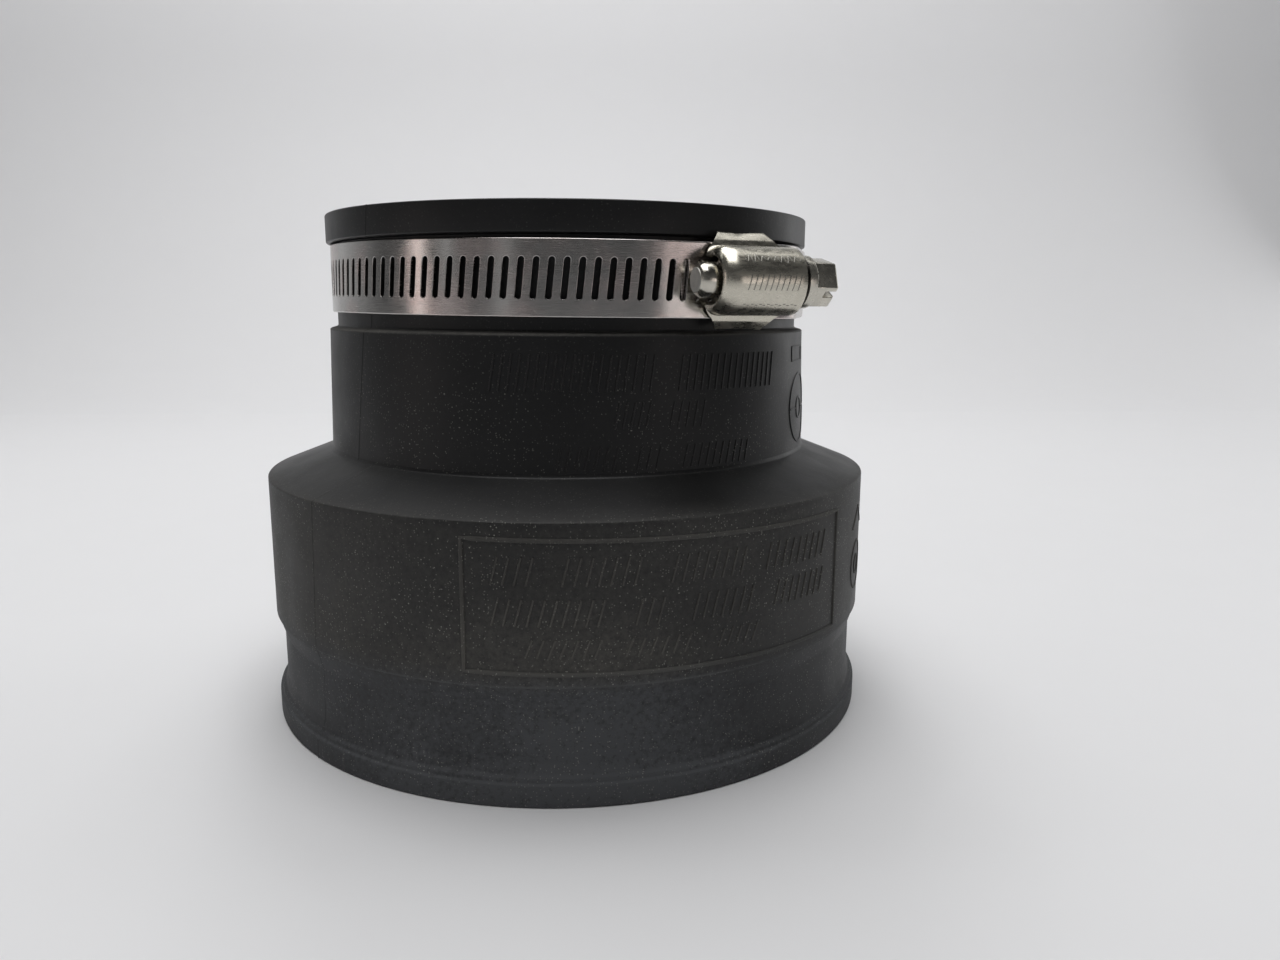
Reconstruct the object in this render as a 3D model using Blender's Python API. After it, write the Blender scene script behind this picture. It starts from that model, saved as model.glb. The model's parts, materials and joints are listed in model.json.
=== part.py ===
"""Flexible reducing pipe coupling with one worm-drive band clamp.

A one-piece moulded rubber sleeve joins a large pipe below to a small pipe above.
A stainless clamp sits in the upper groove: a slotted strip, a stamped housing, a
saddle plate and a worm screw. Metres, +Z up along the bore, origin at the centre
of the bottom rim.
"""

import math

import bmesh
import bpy
from mathutils import Matrix, Vector

MM = 0.001

# ---- sleeve, all in millimetres ----
SLEEVE_HEIGHT = 105.6
SLEEVE_SEGMENTS = 72
LARGE_RIM_R = 66.95
LARGE_RIM_HEIGHT = 5.1
LARGE_GROOVE_R = 65.05
LARGE_BODY_R = 66.7
SHOULDER_LOW_Z = 51.7
SHOULDER_HIGH_Z = 56.7
SMALL_BODY_LOW_R = 53.2
SMALL_BODY_HIGH_R = 52.5
LEDGE_Z = 82.0
SMALL_GROOVE_R = 50.8
SMALL_GROOVE_LOW_Z = 83.05
LIP_BOTTOM_Z = 99.95
LIP_R = 52.5
SMALL_BORE_R = 44.8
LARGE_BORE_R = 57.4
THROAT_R = 41.8
LARGE_STOP_Z = 45.5
SMALL_STOP_Z = 57.5

# ---- raised frame on the large body ----
FRAME_LEFT_DEG = -16.7
FRAME_RIGHT_DEG = 52.0
FRAME_LOW_Z = 24.7
FRAME_HIGH_Z = 49.2
FRAME_DROP = 0.9
FRAME_WIDTH = 0.8
FRAME_PROUD = 0.25

# ---- clamp loop ----
CLAMP_Z = 92.4
CLAMP_SLOPE_X = 0.0065
CLAMP_SLOPE_Y = -0.005
STRIP_WIDTH = 13.7
STRIP_THICK = 0.65
LAYER_STEP = 0.95
LOOP_R = 51.4
RUN_DEG = 18.5
RUN_OFFSET = 52.0
RISE_START_DEG = -48.0
TONGUE_T = 3.7
RUN_END_T = 19.9
EXIT_BEND_R = 12.0
TAIL_LENGTH = 33.0

# ---- slots in the strip ----
SLOT_PITCH = 2.654
SLOT_LENGTH = 7.3
SLOT_WIDTH = 1.12
SLOT_SLANT_DEG = 5.8
SLOT_PHASE_T = 1.14
SLOT_REACH_BACK = 118.0

# ---- worm screw ----
SCREW_N = 57.5
THREAD_R = 4.75
CORE_R = 3.7
NECK_R = 2.9
BUTTON_R = 3.5
COLLAR_R = 4.8
HEX_FLATS = 7.94
TIP_T = 3.9
HOUSING_T0 = 6.9
HOUSING_T1 = 24.2
COLLAR_T0 = 24.5
COLLAR_T1 = 26.9
HEAD_T1 = 30.9
DRIVER_SLOT_WIDTH = 1.4
DRIVER_SLOT_DEPTH = 2.6
DRIVER_SLOT_DEG = -34.0

# ---- housing ----
ARCH_R = 6.1
HOUSING_WALL = 0.9
NOSE_ROUND = 2.4
LEG_FOOT_N = 53.55


def clear_scene():
    """Remove whatever the scene holds at start."""
    for obj in list(bpy.data.objects):
        bpy.data.objects.remove(obj, do_unlink=True)


def new_material(name, colour, roughness, metallic):
    """A plain Principled material."""
    material = bpy.data.materials.new(name)
    material.use_nodes = True
    shader = material.node_tree.nodes["Principled BSDF"]
    shader.inputs["Base Color"].default_value = (*colour, 1.0)
    shader.inputs["Roughness"].default_value = roughness
    shader.inputs["Metallic"].default_value = metallic
    material.diffuse_color = (*colour, 1.0)
    return material


def new_object(name, points, faces, material, origin=(0.0, 0.0, 0.0)):
    """A mesh object from points in millimetres, with its origin where the joint needs it."""
    centre = Vector(origin)
    mesh = bpy.data.meshes.new(name)
    mesh.from_pydata([(Vector(p) - centre) * MM for p in points], [], faces)
    mesh.update()
    obj = bpy.data.objects.new(name, mesh)
    obj.location = centre * MM
    bpy.context.scene.collection.objects.link(obj)
    obj.data.materials.append(material)
    tidy_normals(obj)
    return obj


def tidy_normals(obj):
    """Point every face outwards."""
    shape = bmesh.new()
    shape.from_mesh(obj.data)
    bmesh.ops.recalc_face_normals(shape, faces=shape.faces)
    shape.to_mesh(obj.data)
    shape.free()


def select_only(obj):
    """Make one object the active, selected one."""
    bpy.ops.object.select_all(action="DESELECT")
    obj.select_set(True)
    bpy.context.view_layer.objects.active = obj


def smooth(obj, degrees):
    """Shade smooth with sharp edges kept above the given angle."""
    select_only(obj)
    bpy.ops.object.shade_smooth()
    obj.data.set_sharp_from_angle(angle=math.radians(degrees))


def combine(obj, other, operation):
    """Apply one exact Boolean and remove the second object."""
    step = obj.modifiers.new("combine", "BOOLEAN")
    step.operation = operation
    step.solver = "EXACT"
    step.object = other
    select_only(obj)
    bpy.ops.object.modifier_apply(modifier=step.name)
    bpy.data.objects.remove(other, do_unlink=True)


# ---------------------------------------------------------------- frames of reference

def radial(degrees):
    """Unit vector pointing outwards at an azimuth counted from -Y towards +X."""
    angle = math.radians(degrees)
    return Vector((math.sin(angle), -math.cos(angle), 0.0))


def along(degrees):
    """Unit vector along the circle at an azimuth, in the direction it grows."""
    angle = math.radians(degrees)
    return Vector((math.cos(angle), math.sin(angle), 0.0))


def clamp_tilt():
    """Rotation that leans the clamp plane in its groove."""
    normal = Vector((CLAMP_SLOPE_X, CLAMP_SLOPE_Y, 1.0)).normalized()
    return Vector((0.0, 0.0, 1.0)).rotation_difference(normal).to_matrix()


def clamp_point(flat):
    """From the level clamp plane to its leaning place on the sleeve."""
    return clamp_tilt() @ Vector(flat) + Vector((0.0, 0.0, CLAMP_Z))


def head_point(t, n, z):
    """A point of the clamp head: t along the screw, n outwards, z across the strip."""
    return clamp_point(along(RUN_DEG) * t + radial(RUN_DEG) * n + Vector((0.0, 0.0, z)))


# ---------------------------------------------------------------- sleeve

def sleeve_profile():
    """Closed section of the sleeve, outer side from the bottom up, then the bores down."""
    outer = [
        (LARGE_RIM_R - 0.4, 0.0),
        (LARGE_RIM_R, 0.4),
        (LARGE_RIM_R, LARGE_RIM_HEIGHT),
        (66.1, 5.5),
        (65.4, 6.4),
        (LARGE_GROOVE_R, 8.4),
        (LARGE_GROOVE_R, 16.6),
        (65.3, 17.4),
        (66.4, 21.6),
        (LARGE_BODY_R, 29.0),
        (LARGE_BODY_R, SHOULDER_LOW_Z - 0.3),
        (LARGE_BODY_R - 0.4, SHOULDER_LOW_Z + 0.1),
        (SMALL_BODY_LOW_R + 0.9, SHOULDER_HIGH_Z - 0.3),
        (SMALL_BODY_LOW_R, SHOULDER_HIGH_Z + 0.4),
        (SMALL_BODY_HIGH_R, LEDGE_Z),
        (SMALL_GROOVE_R, SMALL_GROOVE_LOW_Z),
        (SMALL_GROOVE_R, LIP_BOTTOM_Z),
        (LIP_R - 0.9, LIP_BOTTOM_Z + 0.05),
        (LIP_R, LIP_BOTTOM_Z + 0.5),
        (LIP_R, SLEEVE_HEIGHT - 0.35),
        (LIP_R - 0.35, SLEEVE_HEIGHT),
    ]
    inner = [
        (SMALL_BORE_R + 1.2, SLEEVE_HEIGHT),
        (SMALL_BORE_R, SLEEVE_HEIGHT - 1.2),
        (SMALL_BORE_R, SMALL_STOP_Z),
        (THROAT_R, SMALL_STOP_Z),
        (THROAT_R, LARGE_STOP_Z),
        (LARGE_BORE_R, LARGE_STOP_Z),
        (LARGE_BORE_R, 1.2),
        (LARGE_BORE_R + 1.2, 0.0),
    ]
    return outer + inner


def revolve(profile, segments):
    """Points and quads of a closed section turned about the vertical axis."""
    points = []
    faces = []
    count = len(profile)
    for i in range(segments):
        direction = radial(360.0 * i / segments)
        for r, z in profile:
            points.append(direction * r + Vector((0.0, 0.0, z)))
    for i in range(segments):
        j = (i + 1) % segments
        for k in range(count):
            m = (k + 1) % count
            faces.append((i * count + k, j * count + k, j * count + m, i * count + m))
    return points, faces


def frame_bead(left, right, low, high):
    """One raised bar of the frame, bent round the large body."""
    steps = max(1, round((right - left) / 4.0))
    points = []
    faces = []
    for i in range(steps + 1):
        azimuth = left + (right - left) * i / steps
        share = (azimuth - FRAME_LEFT_DEG) / (FRAME_RIGHT_DEG - FRAME_LEFT_DEG)
        drop = FRAME_DROP * share
        for r, z in (
            (LARGE_BODY_R - 1.6, low),
            (LARGE_BODY_R + FRAME_PROUD, low),
            (LARGE_BODY_R + FRAME_PROUD, high),
            (LARGE_BODY_R - 1.6, high),
        ):
            points.append(radial(azimuth) * r + Vector((0.0, 0.0, z - drop)))
    for i in range(steps):
        for k in range(4):
            m = (k + 1) % 4
            faces.append((4 * i + k, 4 * i + 4 + k, 4 * i + 4 + m, 4 * i + m))
    faces.append((0, 1, 2, 3))
    last = 4 * steps
    faces.append((last + 3, last + 2, last + 1, last))
    return points, faces


def build_sleeve(rubber):
    """The moulded sleeve with the raised frame on its large body."""
    points, faces = revolve(sleeve_profile(), SLEEVE_SEGMENTS)
    sleeve = new_object("flexible_sleeve", points, faces, rubber)
    side = math.degrees(FRAME_WIDTH / LARGE_BODY_R)
    bars = (
        (FRAME_LEFT_DEG, FRAME_RIGHT_DEG, FRAME_LOW_Z, FRAME_LOW_Z + FRAME_WIDTH),
        (FRAME_LEFT_DEG, FRAME_RIGHT_DEG, FRAME_HIGH_Z - FRAME_WIDTH, FRAME_HIGH_Z),
        (FRAME_LEFT_DEG, FRAME_LEFT_DEG + side, FRAME_LOW_Z + 0.1, FRAME_HIGH_Z - 0.1),
        (FRAME_RIGHT_DEG - side, FRAME_RIGHT_DEG, FRAME_LOW_Z + 0.1, FRAME_HIGH_Z - 0.1),
    )
    for left, right, low, high in bars:
        bead_points, bead_faces = frame_bead(left, right, low, high)
        bead = new_object("bead", bead_points, bead_faces, rubber)
        combine(sleeve, bead, "UNION")
    smooth(sleeve, 30.0)
    return sleeve


# ---------------------------------------------------------------- strip

def rise_radius():
    """Radius of the arc that leads from the round loop to the straight run."""
    c = math.cos(math.radians(RUN_DEG - RISE_START_DEG))
    return (RUN_OFFSET - LOOP_R * c) / (1.0 - c)


def exit_centre():
    """Centre of the sharp bend where the strip leaves the housing, in (t, n)."""
    return RUN_END_T, RUN_OFFSET - EXIT_BEND_R


def rejoin_deg():
    """Azimuth where the strip comes back to the round part of the loop."""
    t, n = exit_centre()
    towards = RUN_DEG + math.degrees(math.atan2(t, n))
    return 2.0 * towards - RUN_DEG + chord_correction()


def chord_correction():
    """Both tangents of a small circle to a large one lie evenly about their centre line."""
    t, n = exit_centre()
    reach = math.hypot(t, n)
    half = math.degrees(math.acos((LOOP_R - EXIT_BEND_R) / reach))
    lead = math.degrees(math.atan2(t, n))
    return half - lead


def run_start_t():
    """Where the rising arc meets the straight run."""
    angle = math.radians(RISE_START_DEG - RUN_DEG)
    return (LOOP_R - rise_radius()) * math.sin(angle)


def loop_stretches():
    """Lengths of the pieces of one loop, counted from the free end of the tongue."""
    t, n = exit_centre()
    back = rejoin_deg()
    reach = math.hypot(t, n)
    tangent = math.sqrt(reach**2 - (LOOP_R - EXIT_BEND_R) ** 2)
    return (
        RUN_END_T - TONGUE_T,
        EXIT_BEND_R * math.radians(back - RUN_DEG),
        tangent,
        LOOP_R * math.radians(360.0 + RISE_START_DEG - back),
        rise_radius() * math.radians(RUN_DEG - RISE_START_DEG),
        TONGUE_T - run_start_t(),
    )


def loop_place(s):
    """Point and outward direction of the loop's middle line at a length s from the tongue."""
    run, bend, chord, ring, rise, lead = loop_stretches()
    t, n = exit_centre()
    back = rejoin_deg()
    bend_centre = along(RUN_DEG) * t + radial(RUN_DEG) * n
    if s < run:
        return along(RUN_DEG) * (TONGUE_T + s) + radial(RUN_DEG) * RUN_OFFSET, radial(RUN_DEG)
    s -= run
    if s < bend:
        out = radial(RUN_DEG + math.degrees(s / EXIT_BEND_R))
        return bend_centre + out * EXIT_BEND_R, out
    s -= bend
    if s < chord:
        return radial(back) * LOOP_R + along(back) * (s - chord), radial(back)
    s -= chord
    if s < ring:
        out = radial(back + math.degrees(s / LOOP_R))
        return out * LOOP_R, out
    s -= ring
    if s < rise:
        r = rise_radius()
        out = radial(RISE_START_DEG + math.degrees(s / r))
        return radial(RISE_START_DEG) * (LOOP_R - r) + out * r, out
    s -= rise
    start = run_start_t()
    return along(RUN_DEG) * (start + s) + radial(RUN_DEG) * RUN_OFFSET, radial(RUN_DEG)


def strip_place(s):
    """Point and outward direction of the strip: one loop, then a second layer outside it."""
    lengths = loop_stretches()
    whole = sum(lengths)
    rise_at = whole - lengths[4] - lengths[5]
    share = min(1.0, max(0.0, (s - rise_at) / lengths[4]))
    lift = LAYER_STEP * share * share * (3.0 - 2.0 * share)
    place, out = loop_place(s if s < whole else s - whole)
    return place + out * lift, out


def strip_vertex(s, z, side):
    """A surface point of the strip: side is -1 for the inner face and 1 for the outer."""
    place, out = strip_place(s)
    flat = place + out * (side * STRIP_THICK / 2.0)
    return clamp_point((flat.x, flat.y, z))


def slot_outline():
    """Eight corners of one slanted slot, as (along, across) from its middle."""
    half = SLOT_LENGTH / 2.0 - SLOT_WIDTH / 2.0
    r = SLOT_WIDTH / 2.0
    lean = math.tan(math.radians(SLOT_SLANT_DEG))
    corners = []
    for end, degrees in (
        (-1, 240), (-1, 180), (1, 180), (1, 120), (1, 60), (1, 0), (-1, 0), (-1, 300)
    ):
        z = end * half + r * math.sin(math.radians(degrees))
        corners.append((r * math.cos(math.radians(degrees)) + lean * z, z))
    return corners


def strip_cell_faces(first, hole, second, middle):
    """Triangles of one slotted cell. Each argument holds point numbers of one face."""
    bottom_left, top_left = first
    bottom_right, top_right = second
    bottom, top = middle
    h = hole
    return [
        (bottom_left, bottom, h[0]),
        (bottom_left, h[0], h[1]),
        (bottom_left, h[1], top_left),
        (top_left, h[1], h[2]),
        (top_left, h[2], h[3]),
        (top_left, h[3], top),
        (top, h[3], h[4]),
        (top, h[4], top_right),
        (top_right, h[4], h[5]),
        (top_right, h[5], h[6]),
        (top_right, h[6], bottom_right),
        (bottom_right, h[6], h[7]),
        (bottom_right, h[7], bottom),
        (bottom, h[7], h[0]),
    ]


def slot_positions():
    """Middle of every slot as a length along the strip."""
    lengths = loop_stretches()
    whole = sum(lengths)
    near = whole + (SLOT_PHASE_T - TONGUE_T)
    last = whole + TAIL_LENGTH + lengths[0] - 5.0
    back = -math.floor(SLOT_REACH_BACK / SLOT_PITCH)
    ahead = math.floor((last - near) / SLOT_PITCH)
    return [near + SLOT_PITCH * k for k in range(back, ahead + 1)]


def strip_stations():
    """Lengths of the plain columns and of the slots along the whole strip."""
    slots = slot_positions()
    lengths = loop_stretches()
    end = sum(lengths) + lengths[0] + TAIL_LENGTH
    plain = [0.0, lengths[0] / 2.0, lengths[0]]
    for k in range(1, 7):
        plain.append(lengths[0] + lengths[1] * k / 6.0)
    plain.append(lengths[0] + lengths[1] + lengths[2])
    start = plain[-1]
    stop = slots[0] - SLOT_PITCH / 2.0
    steps = math.ceil((stop - start) / 4.6)
    plain += [start + (stop - start) * k / steps for k in range(1, steps)]
    return plain, slots, end


def build_strip(steel):
    """The clamp strip: plain fixed end and tongue, slotted working end and tail."""
    plain, slots, end = strip_stations()
    half = STRIP_WIDTH / 2.0
    points = []
    faces = []

    def add(s, z):
        points.append(strip_vertex(s, z, -1))
        points.append(strip_vertex(s, z, 1))
        return len(points) - 2

    def column(s, reach=half):
        return add(s, -reach), add(s, reach)

    def wall(a, b):
        faces.append((a, a + 1, b + 1, b))

    def both(triangle):
        a, b, c = triangle
        faces.append((a, c, b))
        faces.append((a + 1, b + 1, c + 1))

    def panel(left, right):
        both((left[0], right[0], right[1]))
        both((left[0], right[1], left[1]))
        wall(left[0], right[0])
        wall(right[1], left[1])

    left = column(plain[0])
    wall(left[1], left[0])
    for s in plain[1:]:
        right = column(s)
        panel(left, right)
        left = right
    right = column(slots[0] - SLOT_PITCH / 2.0)
    panel(left, right)
    left = right
    for s in slots:
        middle = column(s)
        right = column(s + SLOT_PITCH / 2.0)
        hole = [add(s + a, z) for a, z in slot_outline()]
        for triangle in strip_cell_faces(left, hole, right, middle):
            both(triangle)
        wall(left[0], middle[0])
        wall(middle[0], right[0])
        wall(right[1], middle[1])
        wall(middle[1], left[1])
        for k in range(8):
            wall(hole[(k + 1) % 8], hole[k])
        left = right
    right = column(end - 2.5)
    panel(left, right)
    left = right
    right = column(end, half - 2.5)
    panel(left, right)
    wall(right[0], right[1])
    strip = new_object("clamp_band", points, faces, steel, clamp_point((0.0, 0.0, 0.0)))
    smooth(strip, 30.0)
    return strip


# ---------------------------------------------------------------- housing and saddle

def arch_section(inset):
    """Outer and inner lines of the arch, each from the low foot round to the high foot."""
    outer = []
    inner = []
    for line, r in ((outer, ARCH_R - inset), (inner, ARCH_R - HOUSING_WALL - inset)):
        line.append((LEG_FOOT_N, -r))
        for k in range(15):
            angle = math.radians(-90.0 + 180.0 * k / 14.0)
            line.append((SCREW_N + r * math.cos(angle), r * math.sin(angle)))
        line.append((LEG_FOOT_N, r))
    return outer, inner


def arch_stations():
    """(t, inset) along the arch: a rounded nose at the tip end, then a plain barrel."""
    stations = []
    for degrees in (12.0, 30.0, 48.0, 68.0, 90.0):
        angle = math.radians(degrees)
        t = HOUSING_T0 + NOSE_ROUND * (math.cos(math.radians(12.0)) - math.cos(angle))
        stations.append((t, NOSE_ROUND * (1.0 - math.sin(angle))))
    stations.append((HOUSING_T1 - 0.3, 0.0))
    stations.append((HOUSING_T1, 0.25))
    return stations


def build_arch(steel):
    """The barrel of the housing over the screw."""
    points = []
    faces = []
    stations = arch_stations()
    for t, inset in stations:
        outer, inner = arch_section(inset)
        for n, z in outer + inner[::-1]:
            points.append(head_point(t, n, z))
    count = len(points) // len(stations)
    for i in range(len(stations) - 1):
        for k in range(count):
            m = (k + 1) % count
            a = i * count
            b = a + count
            faces.append((a + k, b + k, b + m, a + m))
    half = count // 2
    for base in (0, (len(stations) - 1) * count):
        for k in range(half - 1):
            faces.append((base + k, base + k + 1, base + count - 2 - k, base + count - 1 - k))
    return new_object("clamp_housing", points, faces, steel, head_point(15.0, SCREW_N, 0.0))


def build_hook(steel, side):
    """One side of the housing: the flange, the fold round the edges and the hem below."""
    outer = (
        (54.35, 5.6, 7.6, 22.0),
        (54.35, 8.0, 9.3, 20.3),
        (53.95, 8.4, 9.65, 20.0),
        (52.6, 8.2, 10.0, 19.7),
        (51.7, 7.65, 10.4, 19.4),
        (50.3, 7.65, 10.8, 19.1),
        (50.05, 7.4, 10.9, 19.0),
        (50.05, 6.4, 11.3, 18.7),
    )
    inner = (
        (53.55, 5.6, 7.6, 22.0),
        (53.55, 7.0, 9.3, 20.3),
        (53.4, 7.1, 9.65, 20.0),
        (52.6, 7.1, 10.0, 19.7),
        (51.7, 7.1, 10.4, 19.4),
        (50.85, 7.1, 10.8, 19.1),
        (50.6, 6.9, 10.9, 19.0),
        (50.6, 6.4, 11.3, 18.7),
    )
    points = []
    for n, z, t0, t1 in outer + inner:
        points.append(head_point(t0, n, side * z))
        points.append(head_point(t1, n, side * z))
    faces = []
    last = len(outer) - 1
    for k in range(last):
        a, b = 2 * k, 2 * k + 2
        c, d = a + 2 * len(outer), b + 2 * len(outer)
        faces.append((a, a + 1, b + 1, b))
        faces.append((c, d, d + 1, c + 1))
        faces.append((a, b, d, c))
        faces.append((a + 1, c + 1, d + 1, b + 1))
    foot = 2 * len(outer)
    faces.append((0, foot, foot + 1, 1))
    faces.append((2 * last, 2 * last + 1, foot + 2 * last + 1, foot + 2 * last))
    return new_object("hook", points, faces, steel)


def build_housing(steel):
    """The stamped housing: barrel and two folded sides in one piece."""
    housing = build_arch(steel)
    for side in (-1.0, 1.0):
        combine(housing, build_hook(steel, side), "UNION")
    smooth(housing, 35.0)
    return housing


def build_saddle(steel):
    """The plate under the strip, with its two ends eased towards the sleeve."""
    points = []
    faces = []
    for t, low, high in (
        (7.8, 50.85, 51.25), (8.6, 50.85, 51.42), (20.9, 50.85, 51.42), (21.7, 50.85, 51.25)
    ):
        for n, z in ((low, -6.85), (high, -6.85), (high, 6.85), (low, 6.85)):
            points.append(head_point(t, n, z))
    for i in range(3):
        for k in range(4):
            m = (k + 1) % 4
            faces.append((4 * i + k, 4 * i + 4 + k, 4 * i + 4 + m, 4 * i + m))
    faces.append((0, 1, 2, 3))
    faces.append((15, 14, 13, 12))
    return new_object("clamp_saddle", points, faces, steel, head_point(15.0, 51.0, 0.0))


# ---------------------------------------------------------------- worm screw

def screw_point(t, r, degrees):
    """A point about the screw axis, the angle counted from z towards n."""
    angle = math.radians(degrees)
    return head_point(t, SCREW_N + r * math.sin(angle), r * math.cos(angle))


def build_core(steel):
    """The turned core: button tip, neck, root cylinder and collar."""
    profile = (
        (TIP_T, 2.5), (TIP_T + 0.15, 2.75), (TIP_T + 0.75, 3.25), (TIP_T + 1.5, BUTTON_R),
        (TIP_T + 2.3, BUTTON_R), (TIP_T + 2.65, 3.2), (TIP_T + 2.7, NECK_R), (8.2, NECK_R),
        (8.6, CORE_R), (23.9, CORE_R), (COLLAR_T0, 4.2), (COLLAR_T0, COLLAR_R - 0.25),
        (COLLAR_T0 + 0.25, COLLAR_R), (COLLAR_T1 - 0.4, COLLAR_R), (COLLAR_T1, COLLAR_R - 0.5),
    )
    around = 28
    points = []
    faces = []
    for t, r in profile:
        for k in range(around):
            points.append(screw_point(t, r, 360.0 * k / around))
    for i in range(len(profile) - 1):
        for k in range(around):
            m = (k + 1) % around
            a = i * around
            faces.append((a + k, a + around + k, a + around + m, a + m))
    faces.append(tuple(range(around)))
    faces.append(tuple(range((len(profile) - 1) * around, len(profile) * around))[::-1])
    return new_object("worm_screw", points, faces, steel, head_point(15.0, SCREW_N, 0.0))


def build_thread(steel):
    """The right-hand worm thread, set so that it stands in the slots."""
    start = 9.7
    turns = 4.6
    per_turn = 24
    steps = round(turns * per_turn)
    base = start - (start - SLOT_PHASE_T) % SLOT_PITCH
    points = []
    faces = []
    for i in range(steps + 1):
        degrees = -90.0 + 360.0 * i / per_turn
        t = base + SLOT_PITCH * i / per_turn
        fade = min(1.0, i / 8.0, (steps - i) / 8.0)
        tip = CORE_R + 0.12 + (THREAD_R - CORE_R - 0.12) * fade
        for offset, r in ((-0.64, CORE_R - 0.5), (-0.28, tip), (0.28, tip), (0.64, CORE_R - 0.5)):
            points.append(screw_point(t + offset, r, degrees))
    for i in range(steps):
        for k in range(4):
            m = (k + 1) % 4
            faces.append((4 * i + k, 4 * i + 4 + k, 4 * i + 4 + m, 4 * i + m))
    faces.append((0, 1, 2, 3))
    last = 4 * steps
    faces.append((last + 3, last + 2, last + 1, last))
    return new_object("thread", points, faces, steel)


def build_hexagon(steel):
    """The hexagon of the screw head, chamfered at its outer end."""
    corner = HEX_FLATS / math.sqrt(3.0)
    points = []
    faces = []
    rings = ((COLLAR_T1 - 1.0, corner), (HEAD_T1 - 0.5, corner), (HEAD_T1, corner - 0.6))
    for t, r in rings:
        for k in range(6):
            points.append(screw_point(t, r, 60.0 * k))
    for i in range(2):
        for k in range(6):
            m = (k + 1) % 6
            faces.append((6 * i + k, 6 * i + 6 + k, 6 * i + 6 + m, 6 * i + m))
    faces.append((0, 1, 2, 3, 4, 5))
    faces.append((17, 16, 15, 14, 13, 12))
    return new_object("hexagon", points, faces, steel)


def build_driver_slot(steel):
    """The cutter for the screwdriver slot across the hexagon."""
    angle = math.radians(DRIVER_SLOT_DEG)
    points = []
    for t in (HEAD_T1 - DRIVER_SLOT_DEPTH, HEAD_T1 + 2.0):
        for a, b in ((-8, -1), (8, -1), (8, 1), (-8, 1)):
            across = b * DRIVER_SLOT_WIDTH / 2.0
            n = SCREW_N + a * math.cos(angle) - across * math.sin(angle)
            z = a * math.sin(angle) + across * math.cos(angle)
            points.append(head_point(t, n, z))
    faces = [
        (0, 1, 2, 3), (4, 5, 6, 7), (0, 1, 5, 4), (1, 2, 6, 5), (2, 3, 7, 6), (3, 0, 4, 7)
    ]
    return new_object("driver_slot", points, faces, steel)


def build_screw(steel):
    """The worm screw in one piece."""
    screw = build_core(steel)
    combine(screw, build_thread(steel), "UNION")
    combine(screw, build_hexagon(steel), "UNION")
    combine(screw, build_driver_slot(steel), "DIFFERENCE")
    smooth(screw, 35.0)
    return screw


def build_all():
    """Every node of the coupling."""
    clear_scene()
    rubber = new_material("rubber_black", (0.035, 0.034, 0.036), 0.55, 0.0)
    strip_steel = new_material("strip_steel", (0.62, 0.60, 0.59), 0.28, 1.0)
    housing_steel = new_material("housing_steel", (0.66, 0.65, 0.62), 0.32, 1.0)
    screw_steel = new_material("screw_steel", (0.60, 0.60, 0.58), 0.30, 1.0)
    build_sleeve(rubber)
    build_strip(strip_steel)
    build_housing(housing_steel)
    build_saddle(housing_steel)
    build_screw(screw_steel)
    for obj in bpy.data.objects:
        obj.select_set(False)


build_all()
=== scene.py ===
import json
import math

import bmesh
import bpy
from mathutils import Matrix, Vector


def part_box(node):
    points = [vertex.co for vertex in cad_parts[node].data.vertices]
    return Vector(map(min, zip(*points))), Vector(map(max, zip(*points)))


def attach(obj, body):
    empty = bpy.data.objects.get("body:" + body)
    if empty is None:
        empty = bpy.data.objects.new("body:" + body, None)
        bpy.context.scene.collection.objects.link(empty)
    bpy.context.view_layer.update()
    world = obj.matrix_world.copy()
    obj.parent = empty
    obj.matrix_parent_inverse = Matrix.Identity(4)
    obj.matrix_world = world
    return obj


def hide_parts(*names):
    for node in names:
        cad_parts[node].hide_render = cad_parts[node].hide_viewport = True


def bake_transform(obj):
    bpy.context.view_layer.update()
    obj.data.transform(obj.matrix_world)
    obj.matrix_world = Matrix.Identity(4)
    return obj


# Looks of a moulded rubber reducing coupling with a worm-drive band clamp in its upper
# groove. Shapes are worked out in millimetres; the clamp is built in its own directions,
# read from the frame: along the screw, out from the sleeve and across the strip.

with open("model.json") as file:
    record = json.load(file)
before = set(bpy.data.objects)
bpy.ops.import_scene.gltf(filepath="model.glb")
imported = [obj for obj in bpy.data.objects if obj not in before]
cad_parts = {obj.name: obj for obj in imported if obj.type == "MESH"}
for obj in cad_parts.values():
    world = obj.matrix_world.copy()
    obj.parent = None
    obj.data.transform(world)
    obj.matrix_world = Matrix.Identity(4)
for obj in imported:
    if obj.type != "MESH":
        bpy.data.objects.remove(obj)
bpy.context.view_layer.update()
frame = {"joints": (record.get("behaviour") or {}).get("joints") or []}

MM = 0.001
TURN = 2.0 * math.pi

JOINTS = {joint["name"]: joint for joint in frame["joints"]}
ALONG = Vector(JOINTS["screw_turn"]["axis"]).normalized()
OUT = Vector(JOINTS["clamp_opening"]["axis"]).normalized()
ACROSS = OUT.cross(ALONG)
LOOP_CENTRE = Vector(JOINTS["clamp_swivel"]["pos_m"]) / MM
SCREW_PLACE = Vector(JOINTS["screw_turn"]["pos_m"]) / MM - LOOP_CENTRE
SCREW_N = SCREW_PLACE.dot(OUT)
SLEEVE_HIGH_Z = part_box("flexible_sleeve")[1].z / MM
SLEEVE_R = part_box("flexible_sleeve")[1].x / MM

# ---- sleeve ----
SLEEVE_SEGMENTS = 360
BODY_R = SLEEVE_R - 0.25
GROOVE_R = 65.2
NECK_LOW_R = 53.2
NECK_HIGH_R = 52.5
NECK_LOW_Z = 57.1
NECK_HIGH_Z = 82.0
SMALL_BORE_R = 44.8
LARGE_BORE_R = 57.4
THROAT_R = 41.8
SEAM_AZIMUTHS = (-45.5, 134.5)
SEAM_DRIFT_LOW = 2.6
SEAM_DRIFT_HIGH = 6.5

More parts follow.
